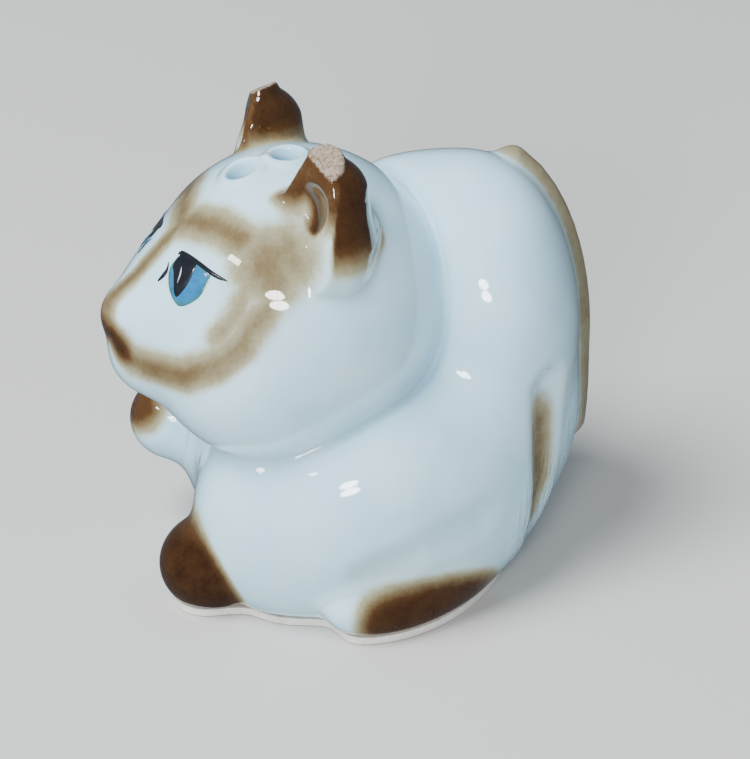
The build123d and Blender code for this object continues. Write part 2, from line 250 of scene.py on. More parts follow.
def ear_face(local):
    """Height in front of the plane that the ear's open face lies in."""
    return (local - EAR_TIP) @ EAR_FACING


def ear_chip(local):
    """Height beyond the flat where the ear's tip has been knocked off."""
    return (local - EAR_TIP - (EAR_OUTER_CORNER - EAR_TIP) * EAR_CHIP_SHARE) @ EAR_CHIP_FACING


def ear(local):
    """A left ear in the head's axes: a full round back, two crisp edges and a scooped face."""
    distance = rod(local, EAR_POINT, EAR_BACK_TOP, EAR_POINT_RADIUS, EAR_BACK_TOP_RADIUS)
    for foot, radius in EAR_BACK_FEET:
        back = rod(local, foot, EAR_BACK_TOP, radius, EAR_BACK_TOP_RADIUS)
        distance = soft_union(distance, back, EAR_BACK_BLEND)
    for foot in EAR_EDGE_FEET:
        edge = rod(local, foot - EAR_FACING * EAR_EDGE_SETBACK, EAR_POINT, EAR_EDGE_RADIUS,
                   EAR_POINT_RADIUS)
        distance = soft_union(distance, edge, EAR_EDGE_BLEND)
    distance = soft_cut(distance, -ear_face(local), EAR_EDGE_ROUND)
    scoop = np.linalg.norm(local - EAR_SCOOP_CENTRE, axis=-1) - EAR_SCOOP_RADIUS
    distance = soft_cut(distance, scoop, EAR_SCOOP_ROUND)
    return soft_cut(distance, -ear_chip(local), EAR_CHIP_ROUND)


def torso(points):
    """The body with its creases, hollowed where the head rests on it."""
    distance = modelled(points, TORSO)
    for side in (points, points * FLIP):
        for path, radius, blend in CREASES:
            distance = soft_cut(distance, chain(side, path, radius), blend)
    nape = np.linalg.norm(in_head(points) - np.array(NAPE_CENTRE), axis=-1) - NAPE_RADIUS
    return soft_cut(distance, nape, NAPE_BLEND)


def tail_path():
    """The tail's middle line, laid on the surface of the rump from the seat up to the back."""
    path = []
    for angle in np.radians(np.linspace(*TAIL_ANGLES, TAIL_POINTS)):
        start = TAIL_PIVOT + np.array([TAIL_LEAN * (1.0 + math.sin(angle)), 0.0, 0.0])
        ray = np.array([0.0, math.cos(angle), math.sin(angle)])
        depths = torso(start + ray * TAIL_REACHES[:, None])
        last = np.nonzero(depths < 0.0)[0][-1]
        share = depths[last] / (depths[last] - depths[last + 1])
        path.append(start + ray * (TAIL_REACHES[last] + share * TAIL_REACHES[1]))
    return path


TAIL_PATH = tail_path()

# For each CAD node, the form that stands for it and how softly the slip joined it on.
FORMS = {
    "body_shell": (torso, 0.0),
    "head_shell": (head, 1.1),
    "left_ear": (lambda points: ear(in_head(points)), 1.0),
    "right_ear": (lambda points: ear(in_head(points) * FLIP), 1.0),
    "left_front_paw": (lambda points: modelled(points, FRONT_PAW), 1.0),
    "right_foreleg": (lambda points: modelled(points, RAISED_FORELEG), 2.5),
    "left_hind_foot": (lambda points: modelled(points, HIND_FOOT), 1.6),
    "right_hind_foot": (lambda points: modelled(points * FLIP, HIND_FOOT), 1.6),
    "tail": (lambda points: chain(points, TAIL_PATH, TAIL_RADIUS), 1.4),
}


def piece_distances(points):
    """The distance to each piece's own form, one column for each."""
    return np.stack([form(points) for form, _ in FORMS.values()], -1)


def kitten(points):
    """The whole figure: every piece blended on, cut flat above the sole and hollow over it."""
    distance = None
    for form, blend in FORMS.values():
        own = form(points)
        distance = own if distance is None else soft_union(distance, own, blend)
    distance = soft_cut(distance, points[..., 2] - SOLE_TOP, EDGE_ROUND)
    across = np.hypot(points[..., 0], points[..., 1] - STOPPER_Y)
    well = np.maximum(across - BOSS_RADIUS - BOSS_GAP, points[..., 2] - BOSS_TOP - BOSS_GAP)
    well = np.minimum(well, blob(points, WELL_CENTRE, WELL_RADII))
    return np.maximum(distance, -well)


def slopes(field, points):
    """The field's gradient at each point."""
    steps = np.eye(3) * SLOPE_REACH
    sides = [field(points + step) - field(points - step) for step in steps]
    return np.stack(sides, -1) / (2.0 * SLOPE_REACH)


def unit(vectors):
    """The same directions, one long."""
    return vectors / np.maximum(np.linalg.norm(vectors, axis=-1, keepdims=True), TINY)


def settle(field, points):
    """Points pulled onto the field's surface."""
    for _ in range(SETTLE_STEPS):
        gradient = slopes(field, points)
        size = np.maximum((gradient ** 2).sum(-1), 1e-6)
        step = (field(points) / size)[:, None] * gradient
        length = np.linalg.norm(step, axis=-1, keepdims=True)
        points = points - step * np.minimum(1.0, NET_STEP / np.maximum(length, TINY))
    return points


# ---- Meshing a field: surface nets

def sample(field, axes):
    """The field on a grid, worked out in full only near the surface."""
    shape = tuple(len(axis) for axis in axes)
    coarse_axes = [axis[::COARSE] for axis in axes]
    coarse = np.stack(np.meshgrid(*coarse_axes, indexing="ij"), -1)
    values = field(coarse.reshape(-1, 3)).reshape(coarse.shape[:3])
    for axis in range(3):
        values = np.repeat(values, COARSE, axis=axis)
    values = values[:shape[0], :shape[1], :shape[2]].copy()
    near = np.argwhere(np.abs(values) < NEAR_CELLS * COARSE * NET_STEP)
    points = np.stack([axes[axis][near[:, axis]] for axis in range(3)], -1)
    values[tuple(near.T)] = field(points)
    return values


def corner(grid, offset):
    """The grid seen from one corner of every cell."""
    return grid[tuple(slice(o, grid.shape[i] - 1 + o) for i, o in enumerate(offset))]


def surface_net(field, low, high):
    """Vertices and quads on the field's zero surface, one vertex in each cell that it crosses."""
    axes = [np.arange(low[i], high[i] + NET_STEP, NET_STEP) for i in range(3)]
    values = sample(field, axes)
    solid = values < 0.0
    offsets = [(i, j, k) for i in (0, 1) for j in (0, 1) for k in (0, 1)]
    filled = sum(corner(solid, offset).astype(np.int8) for offset in offsets)
    crossed = (filled > 0) & (filled < 8)
    cells = np.argwhere(crossed)
    number = np.full(crossed.shape, -1)
    number[crossed] = np.arange(len(cells))
    total = np.zeros((len(cells), 3))
    count = np.zeros(len(cells))
    for first in offsets:
        for axis in range(3):
            if first[axis]:
                continue
            second = tuple(o + (i == axis) for i, o in enumerate(first))
            start = corner(values, first)[crossed]
            end = corner(values, second)[crossed]
            cut = (start < 0.0) != (end < 0.0)
            share = np.where(cut, start / np.where(cut, start - end, 1.0), 0.0)
            spot = np.array(first, float) + share[:, None] * np.eye(3)[axis]
            total += spot * cut[:, None]
            count += cut
    origin = np.array([axis[0] for axis in axes])
    vertices = origin + (cells + total / count[:, None]) * NET_STEP
    quads = []
    for axis in range(3):
        one, two = (axis + 1) % 3, (axis + 2) % 3
        ahead = [slice(None)] * 3
        ahead[axis] = slice(1, None)
        behind = [slice(None)] * 3
        behind[axis] = slice(None, -1)
        flips = solid[tuple(behind)] != solid[tuple(ahead)]
        edges = np.argwhere(flips)
        edges = edges[(edges[:, one] > 0) & (edges[:, two] > 0)]
        edges = edges[(edges[:, one] < crossed.shape[one]) & (edges[:, two] < crossed.shape[two])]
        ring = []
        for back_one, back_two in ((1, 1), (0, 1), (0, 0), (1, 0)):
            cell = edges.copy()
            cell[:, one] -= back_one
            cell[:, two] -= back_two
            ring.append(number[tuple(cell.T)])
        ring = np.stack(ring, -1)
        outward = solid[tuple(edges.T)]
        quads.append(np.where(outward[:, None], ring, ring[:, ::-1]))
    return vertices, np.concatenate(quads)


# ---- Paint: how much of each colour lies at a point

def ramp(value, start, end):
    """0 at start, 1 at end, smooth between."""
    share = np.clip((value - start) / (end - start), 0.0, 1.0)
    return share * share * (3.0 - 2.0 * share)


def spray(distance, width):
    """An airbrush mark: full inside, fading out over a width on both sides of its edge."""
    return ramp(-distance, -width, width)


def together(*marks):
    """Sprayed marks over each other."""
    bare = 1.0
    for mark in marks:
        bare = bare * (1.0 - mark)
    return 1.0 - bare


# Middle lines of the mask's airbrush strokes, in the head's axes, left side.
BROW = ((0.0, -12.4, 11.3), (4.5, -9.9, 12.2), (7.8, -8.3, 11.7))
CHEEK = ((12.9, -7.4, 6.0), (12.7, -10.2, 2.4), (11.8, -12.7, 0.1), (9.7, -15.3, -1.6),
         (7.1, -17.1, -1.9), (3.7, -19.3, -2.0), (2.6, -20.0, -0.6))
FLANK = ((11.4, -8.9, 8.4), (11.5, -10.3, 5.4), (11.2, -12.2, 2.9))
UNDER_JAW = ((13.2, -9.4, 1.8), (12.2, -12.6, -1.2), (9.7, -15.0, -2.6), (5.4, -18.3, -3.0))
BRIDGE = ((0.0, -12.6, 11.0), (0.0, -14.5, 8.9), (0.0, -17.9, 5.3), (0.0, -19.5, 4.1))
MOUTH = ((0.0, -21.0, 0.4), (1.8, -20.6, 0.3), (2.6, -20.0, -1.2))


def face_paint(points):
    """The brown mask: a band over the brow, down the cheek and round to the mouth."""
    local = in_head(points)
    side = mirrored(local)
    temple = blob(side, (11.0, -6.4, 9.8), (4.2, 3.4, 3.9))
    ear_foot = blob(side, (11.8, -4.4, 11.2), (3.4, 2.6, 4.0))
    nose = blob(local, (0.0, -20.8, 2.0), (2.0, 1.8, 2.0))
    jaw = 0.48 + 0.16 * ramp(local[..., 1], -11.0, -16.0)
    mask = np.stack([0.60 * spray(chain(side, BROW, 1.6), 2.2), 0.48 * spray(temple, 2.8),
                     0.42 * spray(ear_foot, 2.4), 0.44 * spray(chain(side, FLANK, 1.0), 1.7),
                     jaw * spray(chain(side, CHEEK, 1.35), 2.0),
                     0.62 * spray(chain(local, BRIDGE, 1.0), 1.3)]).max(0)
    return together(mask, 0.22 * spray(chain(side, UNDER_JAW, 0.5), 1.1), 0.50 * spray(nose, 1.0),
                    0.85 * spray(chain(side, MOUTH, 1.1), 1.3))


def ear_paint(points):
    """Dark at the tip and down the outer back, pale in the bowl and on the side to the crown."""
    local = mirrored(in_head(points))
    near = spray(ear(local) - 0.6, 0.8)
    face = ear_face(local)
    fade = 8.0 + 5.0 * ramp(local[..., 0], 11.5, 8.5)
    back = ramp(local[..., 2] - fade, 0.0, 5.0) * ramp(face, -0.25, -0.7)
    front = 0.78 * ramp(local[..., 2], 12.4, 16.2) * ramp(face, -1.5, -0.4)
    return near * np.maximum(0.94 * back, front)


def limb_paint(points):
    """Brown feet, dark at the toes and paler towards the body, and brown down the crease behind each
    thigh, deepened with painted shade.
    """
    side = mirrored(points)
    paw = spray(modelled(points, FRONT_PAW) - 0.6, 0.7) * ramp(points[..., 2], 15.0, 8.0)
    reaching = blob(points, (-9.2, -25.8, 15.6), (4.4, 3.6, 2.8))
    hind = blob(side, (15.2, 1.6, 3.2), (5.6, 9.6, 4.2), HIND_FOOT_TURN)
    toes = ramp(side[..., 1], -7.2, -3.6)
    # Sprayed brown down the groove behind the thigh, made darker with painted shade, full below the hip
    # and fading out above it.
    crease_brown_and_shade = chain(side, ((9.5, 16.1, 22.6), (9.0, 16.4, 17.4), (8.6, 16.6, 12.0),
                          (9.2, 16.0, 8.0)), 1.0)
    return together(0.96 * paw, 0.80 * spray(reaching, 1.6), 0.86 * toes * spray(hind, 1.5),
                    0.90 * spray(crease_brown_and_shade, 2.2) * ramp(side[..., 2], 25.5, 19.0))


def tail_paint(points):
    return 0.8 * spray(chain(points, TAIL_PATH, TAIL_RADIUS), 0.9)


def brown_paint(points):
    return together(face_paint(points), ear_paint(points), limb_paint(points), tail_paint(points))


def cream_and_shade_paint(points, brown):
    """Thick glaze that reads greenish round the sprayed colour, and painted greenish shade inside the
    ears and in the hollow over each hind foot.
    """
    local = mirrored(in_head(points))
    fringe = 4.0 * ramp(brown, 0.0, 0.35) * (1.0 - ramp(brown, 0.05, 0.6))
    # Painted shade: the ear's scooped bowl, a recess, tinted greenish and darker.
    ear_bowl_shade = spray(ear(local), 1.2) * (1.0 - ramp(local[..., 2], 13.0, 18.0))
    # Painted shade: the greenish hollow over each hind foot, along the crease above it.
    thigh = spray(blob(mirrored(points), (16.0, 2.0, 8.5), (3.5, 9.0, 3.0), HIND_FOOT_TURN), 2.6)
    return np.clip(0.35 * fringe + 0.5 * ear_bowl_shade + 0.35 * thigh, 0.0, 1.0)


def bare_paint(points):
    """Where the glaze is chipped or worn off: the ear tips and the glaze's lower edge."""
    local = mirrored(in_head(points))
    tip = 0.75 * ramp(ear_chip(local), -0.16, -0.05) * ramp(local[..., 2], 16.0, 17.0)
    edge = 1.0 - ramp(points[..., 2], SOLE_TOP + 0.05, SOLE_TOP + 0.4)
    return together(tip, 0.8 * edge)


def fur_paint(points):
    """Where the mould has combed hair lines: the back of the thighs and the seat."""
    side = mirrored(points)
    thigh = spray(blob(side, (9.0, 15.5, 8.0), (6.0, 4.0, 7.5)), 1.5)
    seat = spray(blob(side, (1.5, 20.5, 12.0), (4.0, 3.5, 8.0)), 1.5)
    return together(thigh, seat)


# ---- Materials

class Nodes:
    """A short way to write a node tree."""

    def __init__(self, name):
        self.material = bpy.data.materials.new(name)
        self.material.use_nodes = True
        self.tree = self.material.node_tree
        self.tree.nodes.clear()
        self.output = self.tree.nodes.new("ShaderNodeOutputMaterial")
        self.shader = self.tree.nodes.new("ShaderNodeBsdfPrincipled")
        self.link(self.shader.outputs[0], self.output.inputs["Surface"])

    def link(self, source, target):
        if isinstance(source, (int, float, tuple)):
            target.default_value = source
        else:
            self.tree.links.new(source, target)

    def node(self, kind, inputs=None, **settings):
        node = self.tree.nodes.new(kind)
        for name, value in settings.items():
            setattr(node, name, value)
        for name, value in (inputs or {}).items():
            self.link(value, node.inputs[name])
        return node

    def math(self, operation, *values):
        node = self.node("ShaderNodeMath", operation=operation)
        for value, target in zip(values, node.inputs):
            self.link(value, target)
        return node.outputs[0]

    def noise(self, scale, detail=3.0, roughness=0.5, vector=None):
        node = self.node("ShaderNodeTexNoise", {"Scale": scale, "Detail": detail,
                                                "Roughness": roughness})
        self.link(vector or self.place(), node.inputs["Vector"])
        return node.outputs["Fac"]

    def place(self):
        return self.node("ShaderNodeTexCoord").outputs["Object"]

    def stretch(self, x, y, z):
        node = self.node("ShaderNodeMapping", {"Vector": self.place()})
        node.inputs["Scale"].default_value = (x, y, z)
        return node.outputs["Vector"]

    def mix(self, share, first, second, blend_type="MIX"):
        node = self.node("ShaderNodeMix", data_type="RGBA", blend_type=blend_type)
        self.link(share, node.inputs["Factor"])
        self.link(first, node.inputs[6])
        self.link(second, node.inputs[7])
        return node.outputs[2]

    def remap(self, value, low, high, to_low=0.0, to_high=1.0):
        node = self.node("ShaderNodeMapRange", {"Value": value, "From Min": low, "From Max": high,
                                                "To Min": to_low, "To Max": to_high})
        return node.outputs["Result"]

    def ramp(self, value, stops):
        node = self.node("ShaderNodeValToRGB", {"Fac": value})
        elements = node.color_ramp.elements
        while len(elements) < len(stops):
            elements.new(0.5)
        for element, (position, colour) in zip(elements, stops):
            element.position = position
            element.color = (*colour, 1.0)
        return node.outputs["Color"]

    def bump(self, height, strength, distance, normal=None):
        node = self.node("ShaderNodeBump", {"Height": height, "Strength": strength,
                                            "Distance": distance})
        if normal is not None:
            self.link(normal, node.inputs["Normal"])
        return node.outputs["Normal"]


def glazed_porcelain():
    """Cool white porcelain under a thick clear glaze, with airbrushed brown and bare chips."""
    nodes = Nodes("glazed_porcelain")
    paint = nodes.node("ShaderNodeAttribute", attribute_name="paint")
    parts = nodes.node("ShaderNodeSeparateColor", {"Color": paint.outputs["Color"]})
    brown, cream_and_shade, bare = (parts.outputs[i] for i in range(3))
    fur = paint.outputs["Alpha"]
    cloud = nodes.noise(140.0, 2.0)
    grain = nodes.noise(2600.0, 3.0, 0.7)
    mottle = nodes.math("ADD", nodes.remap(nodes.noise(420.0, 4.0, 0.65), 0.3, 0.7, -0.06, 0.06),
                        nodes.remap(grain, 0.3, 0.7, -0.03, 0.03))
    spread = nodes.math("MULTIPLY", mottle, nodes.remap(brown, 0.0, 0.25))
    tone = nodes.math("ADD", brown, spread)
    white = nodes.mix(nodes.remap(cloud, 0.35, 0.65), (0.48, 0.74, 0.88, 1), (0.56, 0.81, 0.93, 1))
    # Darker greenish: glaze round the sprayed colour, and painted shade in the ear bowls and over the
    # hind feet.
    white = nodes.mix(nodes.math("MULTIPLY", cream_and_shade, 0.8), white, (0.50, 0.55, 0.44, 1))
    sprayed = nodes.ramp(tone, ((0.0, (0.50, 0.57, 0.49)), (0.25, (0.34, 0.32, 0.21)),
                                (0.5, (0.18, 0.135, 0.068)), (0.75, (0.075, 0.034, 0.012)),
                                (1.0, (0.024, 0.009, 0.003))))
    colour = nodes.mix(nodes.remap(tone, 0.02, 0.24), white, sprayed)
    speck_cells = nodes.node("ShaderNodeTexVoronoi", {"Vector": nodes.place(), "Scale": 260.0})
    chosen = nodes.node("ShaderNodeSeparateColor", {"Color": speck_cells.outputs["Color"]})
    speck = nodes.math("MULTIPLY", nodes.remap(speck_cells.outputs["Distance"], 0.035, 0.015),
                       nodes.math("GREATER_THAN", chosen.outputs[0], 0.93))
    colour = nodes.mix(nodes.math("MULTIPLY", speck, 0.75), colour, (0.06, 0.07, 0.08, 1))
    clay = nodes.mix(nodes.remap(grain, 0.35, 0.65), (0.22, 0.15, 0.10, 1), (0.52, 0.44, 0.35, 1))
    colour = nodes.mix(bare, colour, clay)
    smooth = nodes.remap(nodes.noise(90.0, 2.0), 0.3, 0.7, 0.035, 0.075)
    glaze = nodes.math("SUBTRACT", 1.0, bare)
    hair = nodes.noise(1.0, 2.0, 0.6, nodes.stretch(2600.0, 2600.0, 260.0))
    ripple = nodes.math("MULTIPLY", nodes.noise(230.0, 2.0), glaze)
    normal = nodes.bump(ripple, 0.35, 0.00012)
    normal = nodes.bump(nodes.math("MULTIPLY", hair, fur), 0.9, 0.00035, normal)
    normal = nodes.bump(nodes.math("MULTIPLY", grain, bare), 0.8, 0.0002, normal)
    shader = nodes.shader
    nodes.link(colour, shader.inputs["Base Color"])
    nodes.link(nodes.math("ADD", nodes.math("MULTIPLY", bare, 0.8), smooth), shader.inputs["Roughness"])
    nodes.link(glaze, shader.inputs["Coat Weight"])
    nodes.link(normal, shader.inputs["Normal"])
    nodes.link(normal, shader.inputs["Coat Normal"])
    shader.inputs["Specular IOR Level"].default_value = 0.12
    shader.inputs["Coat Roughness"].default_value = 0.02
    shader.inputs["Coat IOR"].default_value = 1.5
    shader.inputs["Subsurface Weight"].default_value = 0.25
    shader.inputs["Subsurface Radius"].default_value = (1.0, 0.9, 0.8)
    shader.inputs["Subsurface Scale"].default_value = 0.0012
    return nodes.material


def bisque():
    """The unglazed foot: dry pale clay with fine grit and table wear."""
    nodes = Nodes("bisque")
    grit = nodes.noise(3200.0, 4.0, 0.7)
    wear = nodes.noise(260.0, 4.0, 0.6)
    colour = nodes.mix(nodes.remap(grit, 0.35, 0.65), (0.70, 0.68, 0.62, 1), (0.84, 0.82, 0.77, 1))
    colour = nodes.mix(nodes.remap(wear, 0.52, 0.72, 0.0, 0.45), colour, (0.46, 0.40, 0.33, 1))
    nodes.link(colour, nodes.shader.inputs["Base Color"])
    nodes.link(nodes.remap(wear, 0.3, 0.7, 0.75, 0.95), nodes.shader.inputs["Roughness"])
    nodes.link(nodes.bump(grit, 0.6, 0.00012), nodes.shader.inputs["Normal"])
    return nodes.material


def stopper_rubber():
    """A milky soft plug, a little yellowed, with a matte moulded skin."""
    nodes = Nodes("stopper_rubber")
    haze = nodes.noise(320.0, 3.0)
    skin = nodes.noise(5200.0, 2.0)
    colour = nodes.mix(nodes.remap(haze, 0.35, 0.65), (0.72, 0.69, 0.58, 1), (0.80, 0.78, 0.70, 1))
    nodes.link(colour, nodes.shader.inputs["Base Color"])
    nodes.link(nodes.remap(haze, 0.3, 0.7, 0.42, 0.6), nodes.shader.inputs["Roughness"])
    nodes.link(nodes.bump(skin, 0.3, 0.00004), nodes.shader.inputs["Normal"])
    nodes.shader.inputs["Subsurface Weight"].default_value = 0.4
    nodes.shader.inputs["Subsurface Scale"].default_value = 0.002
    return nodes.material


def enamel(name, thin, thick):
    """Hand-brushed overglaze colour: darker where the brush left more of it."""
    nodes = Nodes(name)
    load = nodes.noise(900.0, 3.0, 0.6)
    streaks = nodes.noise(1.0, 2.0, 0.6, nodes.stretch(700.0, 700.0, 2400.0))
    share = nodes.math("MULTIPLY", nodes.remap(load, 0.3, 0.7), nodes.remap(streaks, 0.2, 0.8))
    nodes.link(nodes.mix(share, (*thin, 1.0), (*thick, 1.0)), nodes.shader.inputs["Base Color"])
    nodes.link(nodes.remap(load, 0.3, 0.7, 0.10, 0.22), nodes.shader.inputs["Roughness"])
    nodes.link(nodes.bump(streaks, 0.25, 0.00003), nodes.shader.inputs["Normal"])
    nodes.shader.inputs["Coat Weight"].default_value = 0.6
    nodes.shader.inputs["Coat Roughness"].default_value = 0.05
    return nodes.material


# ---- Objects

def new_piece(name, vertices, faces, material, normals=None):
    """A smooth object from points in millimetres."""
    mesh = bpy.data.meshes.new(name)
    mesh.from_pydata((np.asarray(vertices) * MM).tolist(), [], [tuple(face) for face in faces])
    mesh.materials.append(material)
    mesh.shade_smooth()
    if normals is not None:
        mesh.normals_split_custom_set_from_vertices(normals.tolist())
    piece = bpy.data.objects.new(name, mesh)
    bpy.context.scene.collection.objects.link(piece)
    return piece


def rims(faces):
    """The open edges of a piece, strung into loops."""
    sides = Counter((face[i], face[(i + 1) % 4]) for face in faces for i in range(4))
    ahead = {}
    for (start, end), count in sides.items():
        for _ in range(count - sides.get((end, start), 0)):
            ahead.setdefault(end, []).append(start)
    loops = []
    while ahead:
        first = next(iter(ahead))
        loop, spot = [first], ahead[first].pop()
        while spot != first:
            loop.append(spot)
            spot = ahead[spot].pop()
        loops.append(loop)
        ahead = {start: ends for start, ends in ahead.items() if ends}
    return loops


def make_kitten(material):
    """Meshes the figure once and parts it into its pieces, each closed where the slip joined it."""
    low = np.array(cad_low) / MM - NET_MARGIN
    high = np.array(cad_high) / MM + NET_MARGIN
    vertices, quads = surface_net(kitten, low, high)
    vertices = settle(kitten, vertices)
    normals = unit(slopes(kitten, vertices))
    brown = brown_paint(vertices)
    # The second channel is greenish glaze round the brown, and painted shade in the ear bowls and over
    # the hind feet.
    paint = np.stack([brown, cream_and_shade_paint(vertices, brown), bare_paint(vertices),
                      fur_paint(vertices)], -1)
    owner = piece_distances(vertices[quads].mean(1)).argmin(-1)
    for index, node in enumerate(FORMS):
        own = quads[owner == index]
        used, local = np.unique(own, return_inverse=True)
        faces = local.reshape(-1, 4).tolist()
        points, directions, colours = vertices[used], normals[used], paint[used]
        for loop in rims(faces):
            middle = len(points)
            points = np.vstack([points, points[loop].mean(0)])
            directions = np.vstack([directions, [0.0, 0.0, 1.0]])
            colours = np.vstack([colours, [0.0, 0.0, 0.0, 0.0]])
            faces += [(start, end, middle) for start, end in zip(loop, loop[1:] + loop[:1])]
        piece = new_piece(node + "_glazed", points, faces, material, directions)
        layer = piece.data.color_attributes.new("paint", "FLOAT_COLOR", "POINT")
        layer.data.foreach_set("color", colours.astype(np.float32).ravel())
        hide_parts(node)
        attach(piece, "figurine")


# ---- Painted eyes: thin patches of enamel laid on the glaze

EYE_CENTRE = np.array([6.16, -13.54, 7.35])
EYE_RIM_DEPTH = -0.02
EYE_UNDERSIDE = -0.15
FULL_STROKE = 0.2
EYE_RIM = ((-2.2, 2.5), (-0.8, 2.25), (0.6, 1.95), (2.5, 1.4), (2.55, 0.2), (2.0, -1.6),
           (0.2, -3.0), (-1.3, -2.2), (-2.45, -0.6), (-2.9, 0.9))
EYE_PUPIL = ((-2.1, 2.4), (-0.8, 2.2), (0.5, 1.85), (0.55, 0.5), (0.25, -0.9), (-0.4, -2.15),
             (-0.95, -1.95), (-1.5, -0.9), (-2.1, 0.3), (-2.6, 1.2))
UPPER_LASH = ((-2.5, 2.3), (-2.15, 2.52), (-0.8, 2.3), (0.6, 1.98), (2.5, 1.42), (3.6, 1.2),
              (4.6, 1.12))
INNER_LASH = ((-3.3, 1.3), (-3.05, 0.6), (-3.1, -0.1), (-3.55, -1.0))
GLINT = ((-1.36, 1.44), (-1.05, 0.4), (-1.0, -1.34))


def smooth_line(points, closed, count):
    """A curve through the points (Catmull-Rom)."""
    points = np.array(points, float)
    if closed:
        points = np.vstack([points[-1:], points, points[:2]])
    else:
        points = np.vstack([points[:1] * 2 - points[1:2], points, points[-1:] * 2 - points[-2:-1]])
    spans = len(points) - 3
    places = np.linspace(0.0, spans, count, endpoint=not closed)
    span = np.minimum(places.astype(int), spans - 1)
    t = (places - span)[:, None]
    a, b, c, d = (points[span + i] for i in range(4))
    return 0.5 * (2 * b + (c - a) * t + (2 * a - 5 * b + 4 * c - d) * t ** 2
                  + (3 * b - a - 3 * c + d) * t ** 3)


def eye_points(chart, lift, side):
    """Chart points, across and up from the eye's middle, laid on the face and lifted off it."""
    normal = unit(slopes(skull, EYE_CENTRE[None])[0])
    across = unit(np.cross((0.0, 0.0, 1.0), normal))
    up = np.cross(normal, across)
    chart = np.asarray(chart)
    flat = EYE_CENTRE + chart[:, :1] * across + chart[:, 1:] * up
    flat = settle(skull, flat)
    laid = flat + unit(slopes(skull, flat)) * np.asarray(lift)[:, None]
    return from_head(laid * (FLIP if side == "right" else 1.0))


def eye_patch(name, outline, inset, lift, side, material):
    """A filled shape: rings from its middle to its rim, rounded down into the glaze."""
    around, rings, roundness = 72, 9, 8
    rim = smooth_line(outline, True, around)
    middle = rim.mean(0)
    shares = np.linspace(0.0, 1.0, rings + 1)[1:]
    chart = [middle[None]] + [middle + (rim - middle) * (1.0 - inset) * share for share in shares]
    heights = [np.array([lift])]
    heights += [np.full(around, lift * (1.0 - share ** roundness)) for share in shares]
    chart = np.vstack(chart + [middle[None]])
    heights = np.concatenate(heights + [np.array([EYE_UNDERSIDE])])
    heights[-1 - around:-1] = EYE_RIM_DEPTH
    faces = []
    for i in range(around):
        j = (i + 1) % around
        faces.append((0, 1 + i, 1 + j))
        for ring in range(rings - 1):
            a, b = 1 + ring * around, 1 + (ring + 1) * around
            faces.append((a + i, b + i, b + j, a + j))
        last = 1 + (rings - 1) * around
        faces.append((last + j, last + i, len(chart) - 1))
    eye_piece(name, eye_points(chart, heights, side), faces, side, material)


def eye_stroke(name, path, widths, lift, side, material):
    """A brush stroke: a flat bead that follows a path and tapers at both ends."""
    steps, around = 40, 8
    line = smooth_line(path, False, steps)
    run = np.gradient(line, axis=0)
    run /= np.linalg.norm(run, axis=-1, keepdims=True)
    sideways = np.stack([-run[:, 1], run[:, 0]], -1)
    width = np.interp(np.linspace(0.0, 1.0, steps), np.linspace(0.0, 1.0, len(widths)), widths)
    chart, heights = [], []
    for index in range(steps):
        for spoke in range(around):
            angle = 2.0 * math.pi * spoke / around
            chart.append(line[index] + sideways[index] * width[index] / 2.0 * math.cos(angle))
            heights.append(lift * math.sin(angle) * min(1.0, width[index] / FULL_STROKE))
    faces = [tuple(range(around)), tuple(range(steps * around - 1, (steps - 1) * around - 1, -1))]
    for index in range(steps - 1):
        for spoke in range(around):
            a = index * around + spoke
            b = index * around + (spoke + 1) % around
            faces.append((a, a + around, b + around, b))
    eye_piece(name, eye_points(chart, heights, side), faces, side, material)


def eye_piece(name, points, faces, side, material):
    """A part of an eye; mirroring turned the right one's faces inwards, so they are turned back."""
    if side == "right":
        faces = [face[::-1] for face in faces]
    piece = new_piece(f"{side}_eye_{name}", points, faces, material)
    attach(piece, "figurine")


def make_eyes():
    teal = enamel("eye_teal", (0.04, 0.17, 0.20), (0.015, 0.07, 0.09))
    blue = enamel("eye_blue", (0.02, 0.17, 0.36), (0.006, 0.07, 0.20))
    black = enamel("eye_black", (0.012, 0.013, 0.018), (0.004, 0.004, 0.006))
    pale = enamel("eye_glint", (0.62, 0.66, 0.66), (0.45, 0.50, 0.52))
    for side in ("left", "right"):
        eye_patch("rim", EYE_RIM, 0.0, 0.03, side, teal)
        eye_patch("iris", EYE_RIM, 0.10, 0.05, side, blue)
        eye_patch("pupil", EYE_PUPIL, 0.0, 0.08, side, black)
        eye_stroke("lash", UPPER_LASH, (0.1, 0.62, 0.60, 0.50, 0.50, 0.42, 0.08), 0.07, side, black)
        eye_stroke("inner_lash", INNER_LASH, (0.08, 0.3, 0.62, 0.3), 0.06, side, black)
        eye_stroke("glint", GLINT, (0.08, 0.22, 0.07), 0.13, side, pale)


# ---- Studio, in metres

LOOK_AT = Vector((0.0, 0.0, 0.025))
LIGHT_DISTANCE = 0.9
SKY = 0.42
SKY_IN_REFLECTIONS = 0.16
FLOOR_REACH = 3.0
FLOOR_DROP = 0.0001
CAMERA_AZIMUTH = 82.0
CAMERA_ELEVATION = 28.0
CAMERA_DISTANCE = 0.30
CAMERA_LENS = 131.0
CAMERA_SHIFT = (-0.0105, -0.0403)


